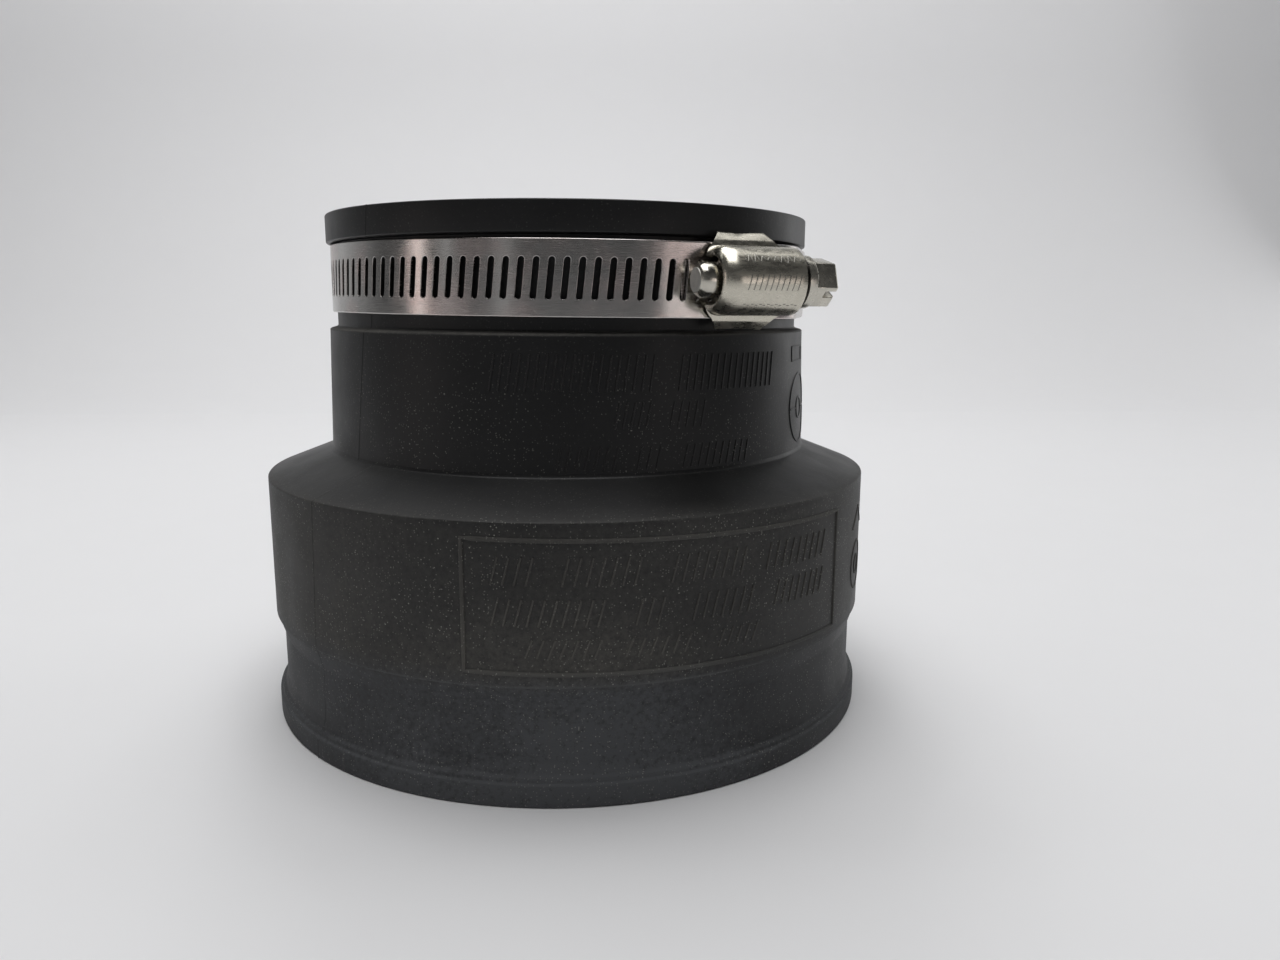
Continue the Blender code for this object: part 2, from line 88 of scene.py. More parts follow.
# ---- strip ----
STRIP_HALF = 6.85
STRIP_EDGE = 0.3
HALF_THICK = 0.325
LAYER_STEP = 0.95
LOOP_R = 51.4
RUN_OFFSET = 52.0
RISE_START = math.radians(-66.5)
TONGUE_T = 3.7
RUN_END_T = 19.9
EXIT_BEND_R = 12.0
TAIL_LENGTH = 33.0
TAIL_PLAIN = 5.0
SLOT_PITCH = 2.654
SLOT_LENGTH = 7.3
SLOT_WIDTH = 1.12
SLOT_LEAN = math.tan(math.radians(5.8))
SLOT_PHASE_T = 1.14
SLOTS_BACK = 44

# ---- housing and screw ----
ARCH_MID_R = 5.67
SHEET = 0.86
BARREL_R = ARCH_MID_R + SHEET / 2.0
STAMP_HALF_WIDTH = 0.15
NOSE_T = 10.4
NOSE_LENGTH = 3.0
NOSE_MID_R = 1.97
ARCH_T1 = 23.0
SADDLE_INNER_N = 50.85
SADDLE_OUTER_N = 51.42
TIP_T = 3.9
BUTTON_R = 3.15
CORE_R = 3.7
THREAD_T0 = 9.7
THREAD_TURNS = 4.6
THREAD_ROOT_R = 3.2
THREAD_TOP_R = 4.7
COLLAR_R = 4.8
COLLAR_T0 = 24.0
COLLAR_T1 = 26.3
# Half-width in mm of the painted shadow ring in the shaded gap in front of the screw's collar.
GAP_SHADE_REACH = 0.7
HEAD_T1 = 30.9
HEX_FLATS = 7.94
HEX_TURN = math.radians(-16.0)
DRIVER_SLOT_WIDTH = 1.4
DRIVER_SLOT_DEPTH = 2.6
DRIVER_SLOT_ANGLE = math.radians(-34.0)


# ---------------------------------------------------------------- mesh helpers

def radial(degrees):
    """Unit vector out from the bore, the azimuth counted from -Y towards +X."""
    angle = math.radians(degrees)
    return Vector((math.sin(angle), -math.cos(angle), 0.0))


def clamp_point(t, n, z):
    """A point from its places along the screw, out from the bore and across the strip."""
    return LOOP_CENTRE + ALONG * t + OUT * n + ACROSS * z


def add_mesh(name, points, faces, normals=None, uvs=None):
    """A smooth mesh object from points in millimetres, its faces turned outwards."""
    mesh = bpy.data.meshes.new(name)
    mesh.from_pydata([Vector(p) * MM for p in points], [], faces)
    shape = bmesh.new()
    shape.from_mesh(mesh)
    bmesh.ops.recalc_face_normals(shape, faces=shape.faces)
    shape.to_mesh(mesh)
    shape.free()
    for face in mesh.polygons:
        face.use_smooth = True
    if uvs:
        layer = mesh.uv_layers.new(name="strip_lengths")
        for loop in mesh.loops:
            layer.data[loop.index].uv = uvs[loop.vertex_index]
    if normals:
        mesh.normals_split_custom_set_from_vertices(normals)
    obj = bpy.data.objects.new(name, mesh)
    bpy.context.scene.collection.objects.link(obj)
    return obj


def select_only(obj):
    """Make one object the active, selected one."""
    bpy.ops.object.select_all(action="DESELECT")
    obj.select_set(True)
    bpy.context.view_layer.objects.active = obj


def apply_modifier(obj, kind, **settings):
    """Add a modifier with these settings and apply it."""
    modifier = obj.modifiers.new(kind.lower(), kind)
    for key, value in settings.items():
        setattr(modifier, key, value)
    select_only(obj)
    bpy.ops.object.modifier_apply(modifier=modifier.name)


def round_edges(obj, width, degrees, segments=3):
    """Round the sharp edges, then shade smooth up to the same angle."""
    apply_modifier(
        obj, "BEVEL", width=width * MM, segments=segments, limit_method="ANGLE",
        angle_limit=math.radians(degrees), harden_normals=False,
    )
    shade(obj, degrees)


def shade(obj, degrees):
    """Shade smooth, with edges above the angle kept sharp."""
    for face in obj.data.polygons:
        face.use_smooth = True
    obj.data.set_sharp_from_angle(angle=math.radians(degrees))


def cut(obj, cutter):
    """Take one closed mesh out of another."""
    apply_modifier(obj, "BOOLEAN", operation="DIFFERENCE", solver="EXACT", object=cutter)
    bpy.data.objects.remove(cutter, do_unlink=True)


def join(first, others):
    """Join several objects into the first."""
    select_only(first)
    for other in others:
        other.select_set(True)
    bpy.ops.object.join()
    return first


def ring_faces(start, count, rows):
    """Quads between successive rings of points."""
    faces = []
    for i in range(rows - 1):
        for k in range(count):
            m = (k + 1) % count
            a = start + i * count
            faces.append((a + k, a + count + k, a + count + m, a + m))
    return faces


def round_corners(corners, steps=4, closed=True):
    """Points of a line whose corners, given as (x, y, radius), are eased into short curves."""
    points = []
    count = len(corners)
    for i, (x, y, radius) in enumerate(corners):
        here = Vector((x, y))
        ends = not closed and i in (0, count - 1)
        if ends or radius <= 0.0:
            points.append((x, y))
            continue
        before = Vector(corners[i - 1][:2]) - here
        after = Vector(corners[(i + 1) % count][:2]) - here
        half = before.angle(after) / 2.0
        reach = min(radius / math.tan(half), 0.45 * before.length, 0.45 * after.length)
        start = here + before.normalized() * reach
        end = here + after.normalized() * reach
        for k in range(steps + 1):
            s = k / steps
            p = start * (1 - s) ** 2 + here * 2 * s * (1 - s) + end * s * s
            points.append((p.x, p.y))
    return points


def ride(obj, body, slot, material, *nodes):
    """Put the material on a piece and hang the piece on its body."""
    obj.data.materials.clear()
    obj.data.materials.append(material)
    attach(obj, body)
    if nodes:
        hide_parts(*nodes)
    return obj


# ---------------------------------------------------------------- sleeve

SLEEVE_OUTSIDE = (
    (SLEEVE_R, 0.0, 0.5),
    (SLEEVE_R, 4.3, 0.25),
    (66.45, 4.6, 0.12),
    (66.35, 5.4, 0.25),
    (65.7, 5.9, 1.0),
    (GROOVE_R, 7.9, 3.0),
    (GROOVE_R, 18.3, 2.0),
    (66.3, 21.9, 0.5),
    (66.35, 22.3, 0.12),
    (BODY_R, 22.6, 0.2),
    (BODY_R, 51.7, 0.45),
    (NECK_LOW_R + 0.3, 56.8, 0.8),
    (NECK_LOW_R, NECK_LOW_Z + 0.4, 0.4),
    (NECK_HIGH_R, NECK_HIGH_Z + 0.25, 0.1),
    (NECK_HIGH_R - 0.3, NECK_HIGH_Z + 0.5, 0.1),
    (51.1, 82.8, 0.25),
    (50.8, 83.1, 0.2),
    (50.8, 99.72, 0.15),
    (51.8, 99.78, 0.15),
    (NECK_HIGH_R, 100.0, 0.3),
    (NECK_HIGH_R, SLEEVE_HIGH_Z, 0.4),
)
SLEEVE_INSIDE = (
    (SMALL_BORE_R + 1.2, SLEEVE_HIGH_Z, 0.3),
    (SMALL_BORE_R, SLEEVE_HIGH_Z - 1.2, 0.5),
    (SMALL_BORE_R, 57.5, 0.5),
    (THROAT_R, 57.5, 0.6),
    (THROAT_R, 45.5, 0.6),
    (LARGE_BORE_R, 45.5, 0.5),
    (LARGE_BORE_R, 1.2, 0.5),
    (LARGE_BORE_R + 1.2, 0.0, 0.3),
)


def build_sleeve(material):
    """The one-piece moulded sleeve with softly rounded edges."""
    profile = round_corners(SLEEVE_OUTSIDE + SLEEVE_INSIDE)
    points = []
    for i in range(SLEEVE_SEGMENTS):
        direction = radial(360.0 * i / SLEEVE_SEGMENTS)
        for r, z in profile:
            points.append(direction * r + Vector((0.0, 0.0, z)))
    faces = ring_faces(0, len(profile), SLEEVE_SEGMENTS)
    last = (SLEEVE_SEGMENTS - 1) * len(profile)
    for k in range(len(profile)):
        m = (k + 1) % len(profile)
        faces.append((last + k, k, m, last + m))
    sleeve = add_mesh("rubber_sleeve", points, faces)
    shade(sleeve, 30.0)
    return ride(sleeve, "sleeve", "sleeve_rubber", material, "flexible_sleeve")


def neck_radius(z):
    """Radius of the tapered small body at a height."""
    share = (z - NECK_LOW_Z) / (NECK_HIGH_Z - NECK_LOW_Z)
    return NECK_LOW_R + (NECK_HIGH_R - NECK_LOW_R) * share


def body_radius(_z):
    """Radius of the large body."""
    return BODY_R


class Relief:
    """Raised strokes on the sleeve, gathered into one mesh."""

    def __init__(self):
        self.points = []
        self.faces = []

    def stroke(self, path, width, proud, radius_at, closed=False):
        """A low rounded bead along (azimuth in degrees, height in mm) points."""
        section = (
            (-0.5, -0.25), (-0.5, 0.0), (-0.38, 0.75), (-0.15, 1.0),
            (0.15, 1.0), (0.38, 0.75), (0.5, 0.0), (0.5, -0.25),
        )
        flat = [Vector((math.radians(a) * radius_at(z), z)) for a, z in path]
        count = len(flat)
        start = len(self.points)
        for i, here in enumerate(flat):
            if closed:
                direction = flat[(i + 1) % count] - flat[i - 1]
            else:
                direction = flat[min(i + 1, count - 1)] - flat[max(i - 1, 0)]
            side = Vector((-direction.y, direction.x)).normalized()
            for across, height in section:
                spot = here + side * (across * width)
                r = radius_at(spot.y)
                rise = height * proud if height > 0.0 else height
                angle = math.degrees(spot.x / radius_at(here.y))
                self.points.append(radial(angle) * (r + rise) + Vector((0, 0, spot.y)))
        size = len(section)
        self.faces += ring_faces(start, size, count)
        if closed:
            last = start + (count - 1) * size
            for k in range(size):
                m = (k + 1) % size
                self.faces.append((last + k, start + k, start + m, last + m))
        else:
            self.faces.append(tuple(range(start, start + size)))
            end = start + (count - 1) * size
            self.faces.append(tuple(range(end, end + size))[::-1])

    def line(self, a0, z0, a1, z1, width, proud, radius_at):
        """A straight stroke, cut into short lengths so that it follows the round."""
        steps = max(1, round(abs(a1 - a0) / 1.5))
        path = []
        for i in range(steps + 1):
            s = i / steps
            path.append((a0 + (a1 - a0) * s, z0 + (z1 - z0) * s))
        self.stroke(path, width, proud, radius_at)

    def box(self, a0, a1, z0, z1, drop, width, proud, radius_at):
        """A four-sided outline whose right side stands a little lower."""
        path = []
        steps = max(2, round((a1 - a0) / 1.5))
        for i in range(steps + 1):
            path.append((a0 + (a1 - a0) * i / steps, z0 - drop * i / steps))
        rise = max(2, round((z1 - z0) / 2.0))
        for i in range(1, rise):
            path.append((a1, z0 - drop + (z1 - z0) * i / rise))
        for i in range(steps + 1):
            s = 1.0 - i / steps
            path.append((a0 + (a1 - a0) * s, z1 - drop * s))
        for i in range(1, rise):
            path.append((a0, z1 - (z1 - z0) * i / rise))
        self.stroke(path, width, proud, radius_at, closed=True)

    def ring(self, azimuth, z, radius, width, proud, radius_at):
        """A round outline."""
        path = []
        for k in range(48):
            angle = TURN * k / 48
            turn = math.degrees(radius * math.cos(angle) / radius_at(z))
            path.append((azimuth + turn, z + radius * math.sin(angle)))
        self.stroke(path, width, proud, radius_at, closed=True)


def rib_row(relief, groups, z0, z1, slope, radius_at, proud):
    """Groups of plain slanting ribs, all of one height, round the sleeve."""
    for start, stop in groups:
        count = round((stop - start) / 1.75)
        for index in range(count):
            spot = start + (stop - start) * index / count
            drop = slope * (spot - groups[0][0])
            relief.line(spot, z0 - drop, spot + 1.1, z1 - drop, 0.42, proud, radius_at)


def build_marks(material):
    """The raised frame, plain slanting ribs and rings moulded on the outside."""
    relief = Relief()
    relief.box(-16.4, 51.7, 25.1, 48.8, 0.9, 0.85, 0.32, body_radius)
    first = ((-12.0, -5.0), (-1.5, 11.0), (15.0, 28.5), (32.0, 48.0))
    second = ((-12.0, 5.5), (9.5, 14.5), (18.5, 30.0), (34.0, 47.5))
    third = ((-7.0, 5.0), (8.0, 19.0), (23.0, 31.0))
    rib_row(relief, first, 40.8, 45.8, 0.013, body_radius, 0.2)
    rib_row(relief, second, 33.6, 38.4, 0.013, body_radius, 0.2)
    rib_row(relief, third, 27.9, 31.2, 0.013, body_radius, 0.14)
    rib_row(relief, ((-16.0, 17.5), (22.0, 50.0)), 72.4, 79.0, 0.005, neck_radius, 0.17)
    rib_row(relief, ((8.5, 16.5), (20.0, 29.0)), 65.6, 70.4, 0.005, neck_radius, 0.14)
    rib_row(relief, ((-3.0, 10.0), (13.0, 19.0), (23.0, 41.0)), 58.2, 62.4, 0.005,
            neck_radius, 0.16)
    relief.ring(67.0, 66.2, 7.3, 0.5, 0.22, neck_radius)
    relief.ring(67.0, 66.2, 2.2, 0.5, 0.2, neck_radius)
    relief.line(59.6, 66.2, 63.8, 66.2, 0.5, 0.2, neck_radius)
    relief.line(70.2, 66.2, 74.4, 66.2, 0.5, 0.2, neck_radius)
    relief.box(60.5, 70.0, 76.2, 79.2, 0.0, 0.45, 0.18, neck_radius)
    relief.ring(66.0, 33.0, 5.2, 0.5, 0.2, body_radius)
    relief.ring(66.0, 33.0, 2.0, 0.5, 0.2, body_radius)
    relief.line(61.6, 41.5, 66.0, 45.8, 0.5, 0.2, body_radius)
    relief.line(66.0, 45.8, 70.4, 41.5, 0.5, 0.2, body_radius)
    marks = add_mesh("moulded_marks", relief.points, relief.faces)
    shade(marks, 40.0)
    return ride(marks, "sleeve", "sleeve_rubber", material)


def seam_azimuth(z, turned):
    """The mould's parting line wanders a little with height."""
    if z < NECK_LOW_Z:
        return turned - SEAM_DRIFT_LOW * (1.0 - z / NECK_LOW_Z)
    share = (z - NECK_LOW_Z) / (SLEEVE_HIGH_Z - NECK_LOW_Z)
    return turned - SEAM_DRIFT_HIGH + SEAM_DRIFT_HIGH * share


def build_seams(material):
    """Fine parting lines of the mould on opposite sides of the sleeve."""
    profile = round_corners(SLEEVE_OUTSIDE, steps=3, closed=False)
    dense = []
    for (r0, z0), (r1, z1) in zip(profile, profile[1:]):
        steps = max(1, round(math.hypot(r1 - r0, z1 - z0) / 3.0))
        dense += [(r0 + (r1 - r0) * k / steps, z0 + (z1 - z0) * k / steps) for k in range(steps)]
    dense.append(profile[-1])
    seams = []
    for turned in SEAM_AZIMUTHS:
        points = []
        for i, (r, z) in enumerate(dense):
            ahead = dense[min(i + 1, len(dense) - 1)]
            behind = dense[max(i - 1, 0)]
            along = Vector((ahead[0] - behind[0], ahead[1] - behind[1])).normalized()
            facing = Vector((along.y, -along.x))
            azimuth = seam_azimuth(z, turned)
            for side, height in ((-0.11, -0.04), (0.0, 0.05), (0.11, -0.04), (0.0, -0.3)):
                angle = azimuth + math.degrees(side / r)
                reach = r + facing.x * height
                points.append(radial(angle) * reach + Vector((0, 0, z + facing.y * height)))
        faces = ring_faces(0, 4, len(dense))
        faces.append((0, 1, 2, 3))
        last = 4 * (len(dense) - 1)
        faces.append((last + 3, last + 2, last + 1, last))
        seams.append(add_mesh("parting_line", points, faces))
    seam = join(seams[0], seams[1:])
    shade(seam, 60.0)
    return ride(seam, "sleeve", "sleeve_rubber", material)


# ---------------------------------------------------------------- strip

def facing(angle):
    """Outward direction at an angle from the head, as (along, out)."""
    return Vector((math.sin(angle), math.cos(angle)))


def running(angle):
    """Direction of travel along the loop at an angle from the head."""
    return Vector((math.cos(angle), -math.sin(angle)))


EXIT_CENTRE = Vector((RUN_END_T, RUN_OFFSET - EXIT_BEND_R))
RISE_R = (RUN_OFFSET - LOOP_R * math.cos(RISE_START)) / (1.0 - math.cos(RISE_START))
RUN_START_T = (LOOP_R - RISE_R) * math.sin(RISE_START)
BACK = math.atan2(EXIT_CENTRE.x, EXIT_CENTRE.y) + math.acos(
    (LOOP_R - EXIT_BEND_R) / EXIT_CENTRE.length
)
STRETCHES = (
    RUN_END_T - TONGUE_T,
    EXIT_BEND_R * BACK,
    math.sqrt(EXIT_CENTRE.length**2 - (LOOP_R - EXIT_BEND_R) ** 2),
    LOOP_R * (TURN + RISE_START - BACK),
    RISE_R * -RISE_START,
    TONGUE_T - RUN_START_T,
)
LOOP_LENGTH = sum(STRETCHES)
STRIP_END = LOOP_LENGTH + STRETCHES[0] + TAIL_LENGTH


def loop_place(s):
    """Place and outward direction of the loop's middle line at a length from the tongue."""
    run, bend, chord, ring, rise, _lead = STRETCHES
    if s < run:
        return Vector((TONGUE_T + s, RUN_OFFSET)), facing(0.0)
    s -= run
    if s < bend:
        out = facing(s / EXIT_BEND_R)
        return EXIT_CENTRE + out * EXIT_BEND_R, out
    s -= bend
    if s < chord:
        return facing(BACK) * LOOP_R + running(BACK) * (s - chord), facing(BACK)
    s -= chord
    if s < ring:
        out = facing(BACK + s / LOOP_R)
        return out * LOOP_R, out
    s -= ring
    if s < rise:
        out = facing(RISE_START + s / RISE_R)
        return facing(RISE_START) * (LOOP_R - RISE_R) + out * RISE_R, out
    return Vector((RUN_START_T + s - rise, RUN_OFFSET)), facing(0.0)


def strip_place(s):
    """Place and outward direction of the strip: one loop, then a second layer outside it."""
    rise_at = LOOP_LENGTH - STRETCHES[4] - STRETCHES[5]
    share = min(1.0, max(0.0, (s - rise_at) / STRETCHES[4]))
    lift = LAYER_STEP * share * share * (3.0 - 2.0 * share)
    place, out = loop_place(s if s < LOOP_LENGTH else s - LOOP_LENGTH)
    return place + out * lift, out


def half_width(s):
    """Half the strip's width, with the corners of both ends rounded."""
    corner = 2.5
    d = min(s, STRIP_END - s)
    if d >= corner:
        return STRIP_HALF
    return STRIP_HALF - corner + math.sqrt(corner**2 - (corner - d) ** 2)


class StripMesh:
    """Gathers the strip's points with their exact normals and lengths."""

    SHARES = (-1.0, -0.68, -0.44, -0.21, 0.0, 0.21, 0.44, 0.68, 1.0)

    def __init__(self):
        self.points = []
        self.normals = []
        self.uvs = []
        self.faces = []

    def add(self, s, z, height, lean=(0.0, 0.0, 1.0)):
        """A point at a length, a place across and a height, its normal (along, across, out)."""
        place, out = strip_place(s)
        spot = place + out * height
        travel = Vector((out.y, -out.x))
        flat = travel * lean[0] + out * lean[2]
        normal = ALONG * flat.x + OUT * flat.y + ACROSS * lean[1]
        self.points.append(clamp_point(spot.x, spot.y, z))
        self.normals.append(normal.normalized())
        self.uvs.append((s, z))
        return len(self.points) - 1

    def edge(self, s, side):
        """The rounded long edge from the outer face to the inner face."""
        w = half_width(s)
        t = HALF_THICK
        spots = (
            (w - STRIP_EDGE, t, 0.0, 1.0), (w - 0.1, t - 0.05, 0.7, 0.7),
            (w, t - 0.18, 1.0, 0.0), (w, 0.18 - t, 1.0, 0.0),
            (w - 0.1, 0.05 - t, 0.7, -0.7), (w - STRIP_EDGE, -t, 0.0, -1.0),
        )
        return [self.add(s, side * z, h, (0.0, side * nz, nh)) for z, h, nz, nh in spots]

    def column(self, s):
        """All the points across the strip at one length."""
        low = self.edge(s, -1.0)
        high = self.edge(s, 1.0)
        reach = half_width(s) - STRIP_EDGE
        front = [low[0]]
        back = [low[-1]]
        for share in self.SHARES[1:-1]:
            front.append(self.add(s, share * reach, HALF_THICK))
            back.append(self.add(s, share * reach, -HALF_THICK, (0.0, 0.0, -1.0)))
        return {"low": low, "high": high, "front": front + [high[0]], "back": back + [high[-1]]}

    def band(self, a, b):
        """Quads between two rows of points of the same length."""
        for k in range(len(a) - 1):
            self.faces.append((a[k], b[k], b[k + 1], a[k + 1]))

    def plain(self, left, right):
        """A plain stretch between two columns."""
        for part in ("low", "high", "front", "back"):
            self.band(left[part], right[part])

    def cap(self, column):
        """Close one end of the strip."""
        loop = column["front"] + column["high"][1:-1] + column["back"][::-1]
        self.faces.append(tuple(loop + column["low"][1:-1][::-1]))

    def outline(self, s, grow, height, blend):
        """One ring round a slot; blend 0 has the face's normal and 1 the hole wall's."""
        r = SLOT_WIDTH / 2.0 + grow
        reach = (SLOT_LENGTH - SLOT_WIDTH) / 2.0
        spots = [(1, 315), (1, 345)] + [(k, 0) for k in (-0.7, -0.35, 0.0, 0.35, 0.7)]
        right = [(-1, 315), (-1, 345)] + spots[2:] + [(1, 15), (1, 45)]
        top = [(1, 68), (1, 90), (1, 112)]
        left = [(1, 135), (1, 165)] + [(-k, 180) for k, _ in spots[2:]] + [(-1, 195), (-1, 225)]
        bottom = [(-1, 248), (-1, 270), (-1, 292)]
        ring = []
        sign = 1.0 if height > 0.0 else -1.0
        for share, degrees in right + top + left + bottom:
            a, b = math.cos(math.radians(degrees)), math.sin(math.radians(degrees))
            z = share * reach + r * b
            lean = (-a * blend, -b * blend, sign * (1.0 - blend))
            ring.append(self.add(s + r * a + SLOT_LEAN * z, z, height, lean))
        return ring

    def slot(self, s, left, right):
        """One slotted cell between two columns."""
        quarters = [s + SLOT_PITCH * k / 4.0 for k in (-1, 0, 1)]
        posts = [{"low": self.edge(q, -1.0), "high": self.edge(q, 1.0)} for q in quarters]
        for a, b in zip([left] + posts, posts + [right]):
            self.band(a["low"], b["low"])
            self.band(a["high"], b["high"])
        walls = []
        t = HALF_THICK
        for face, end, sign in (("front", 0, 1.0), ("back", -1, -1.0)):
            frame_ring = list(right[face])
            frame_ring += [post["high"][end] for post in posts[::-1]]
            frame_ring += left[face][::-1]
            frame_ring += [post["low"][end] for post in posts]
            rings = [
                frame_ring,
                self.outline(s, 0.15, sign * t, 0.0),
                self.outline(s, 0.05, sign * (t - 0.035), 0.35),
                self.outline(s, 0.0, sign * (t - 0.11), 1.0),
            ]
            for a, b in zip(rings, rings[1:]):
                self.band(a + a[:1], b + b[:1])
            walls.append(rings[-1])
        self.band(walls[0] + walls[0][:1], walls[1] + walls[1][:1])


def spread(start, stop, step):
    """Even stations after start up to stop, no further apart than step."""
    count = max(1, math.ceil((stop - start) / step))
    return [start + (stop - start) * k / count for k in range(1, count + 1)]


def build_strip(material):
    """The slotted strip: one loop, and a tail laid over it as a second layer."""
    near = LOOP_LENGTH + SLOT_PHASE_T - TONGUE_T
    last = STRIP_END - TAIL_PLAIN
    ahead = math.floor((last - near) / SLOT_PITCH)
    slots = [near + SLOT_PITCH * k for k in range(-SLOTS_BACK, ahead + 1)]
    shape = StripMesh()
    stations = [0.0, 0.25, 0.7, 1.4, 2.5]
    bend_at = STRETCHES[0]
    stations += spread(2.5, bend_at, 2.0)
    stations += spread(bend_at, bend_at + STRETCHES[1], 0.7)
    ring_at = bend_at + STRETCHES[1] + STRETCHES[2]
    stations += spread(bend_at + STRETCHES[1], ring_at, 2.0)
    stations += spread(ring_at, slots[0] - SLOT_PITCH / 2.0, 1.3)
    left = shape.column(stations[0])
    shape.cap(left)
    for s in stations[1:]:
        right = shape.column(s)
        shape.plain(left, right)
        left = right
    for s in slots:
        right = shape.column(s + SLOT_PITCH / 2.0)
        shape.slot(s, left, right)
        left = right
    ends = spread(slots[-1] + SLOT_PITCH / 2.0, STRIP_END - 2.5, 1.0)
    for s in ends + [STRIP_END - d for d in (1.4, 0.7, 0.25, 0.0)]:
        right = shape.column(s)
        shape.plain(left, right)
        left = right
    shape.cap(left)
    strip = add_mesh("band_strip", shape.points, shape.faces, shape.normals, shape.uvs)
    strip.data.materials.append(material)
    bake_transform(strip)
    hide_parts("clamp_band")
    return strip


# ---------------------------------------------------------------- housing and saddle

def housing_line():
    """Middle line of the sheet from the crown to the hem, with each place's end limits."""
    corners = [(SCREW_N, ARCH_MID_R, 0.0), (54.45, ARCH_MID_R, 0.9), (54.0, 6.9, 0.5),
               (52.3, 8.3, 0.6), (51.5, 7.6, 0.5), (50.33, 7.37, 0.4), (50.33, 6.4, 0.0)]
    line = []
    for k in range(20):
        angle = math.radians(90.0 - 90.0 * k / 20.0)
        line.append((SCREW_N + ARCH_MID_R * math.sin(angle), ARCH_MID_R * math.cos(angle)))
    line += round_corners(corners, steps=5, closed=False)
    limits = ((5.7, 0.0, ARCH_T1), (6.3, 0.75, 22.2), (7.4, 2.2, 20.5), (8.0, 2.7, 20.1))
    sized = []
    gone_out = 0.0
    for n, z in line:
        gone_out = max(gone_out, z)
        reach = gone_out if n > 53.0 else 8.0 + (53.0 - n) * 0.5
        start, stop = between(limits, reach)
        sized.append((n, z, start, stop))
    return sized


def between(table, value):
    """Straight-line values between the rows of a table sorted by its first column."""
    if value <= table[0][0]:
        return table[0][1:]
    for low, high in zip(table, table[1:]):
        if value <= high[0]:
            share = (value - low[0]) / (high[0] - low[0])
            return tuple(a + (b - a) * share for a, b in zip(low[1:], high[1:]))
    over = value - table[-1][0]
    return table[-1][1] + over * 0.9, table[-1][2] - over * 0.6


def nose_inset(t):
    """How far the sheet curls in towards the screw near the tip end."""
    reach = min(1.0, max(0.0, (NOSE_T - t) / NOSE_LENGTH))
    return NOSE_MID_R * (1.0 - math.sqrt(1.0 - reach**2.5))


def housing_stations():
    """Places along the screw, close together where the nose curls."""
    stations = []
    for degrees in (12, 20, 28, 36, 44, 52, 60, 68, 76, 84, 90):
        stations.append(NOSE_T - NOSE_LENGTH * math.cos(math.radians(degrees)))
    return stations + spread(NOSE_T, ARCH_T1, 1.2)


def build_housing(material):
    """The stamped housing as one bent sheet: hem, fold, flange, barrel and back again."""
    half = housing_line()
    whole = [(n, -z, a, b) for n, z, a, b in half[::-1]] + half[1:]
    stations = housing_stations()
    first = stations[0]
    span = ARCH_T1 - first
    rows = []
    for n, z, start, stop in whole:
        row = []
        for t in stations:
            share = (t - first) / span
            place = first + start + (stop - first - start) * share
            curl = nose_inset(place)
            weight = min(1.0, max(0.0, (n - 53.6) / 1.2))
            out = max(0.0, n - SCREW_N)
            r = math.hypot(out, z)
            shrink = 1.0 - curl * weight / r if abs(z) < 6.4 or out else 1.0
            flare = max(0.0, abs(z) - 6.9) * 0.04 * (14.5 - place)
            side = math.copysign(max(-0.3, min(0.3, flare)), z)
            row.append(clamp_point(place, n - out + out * shrink, z * shrink + side))
        rows.append(row)
    count = len(stations)
    points = [p for row in rows for p in row]
    sheet = []
    for side in (1.0, -1.0):
        for i, row in enumerate(rows):
            for k, p in enumerate(row):
                a = rows[min(i + 1, len(rows) - 1)][k] - rows[max(i - 1, 0)][k]
                b = row[min(k + 1, count - 1)] - row[max(k - 1, 0)]
                sheet.append(p + a.cross(b).normalized() * (side * SHEET / 2.0))
    total = len(points)
    faces = []
    for i in range(len(rows) - 1):
        for k in range(count - 1):
            a = i * count + k
            faces.append((a, a + 1, a + count + 1, a + count))
            faces.append((total + a, total + a + count, total + a + count + 1, total + a + 1))
    rim = [i * count for i in range(len(rows))]
    rim += [(len(rows) - 1) * count + k for k in range(1, count)]
    rim += [i * count + count - 1 for i in range(len(rows) - 2, -1, -1)]
    rim += [k for k in range(count - 2, 0, -1)]
    for a, b in zip(rim, rim[1:] + rim[:1]):
        faces.append((a, b, total + b, total + a))
    housing = add_mesh("housing_shell", sheet, faces)
    round_edges(housing, 0.22, 50.0)
    return ride(housing, "clamp_head", "housing_steel", material, "clamp_housing")


def barrel_point(t, degrees, height):
    """A point on the barrel, the angle counted from across towards out."""
    angle = math.radians(degrees)
    r = BARREL_R + height
    return clamp_point(t, SCREW_N + r * math.sin(angle), r * math.cos(angle))


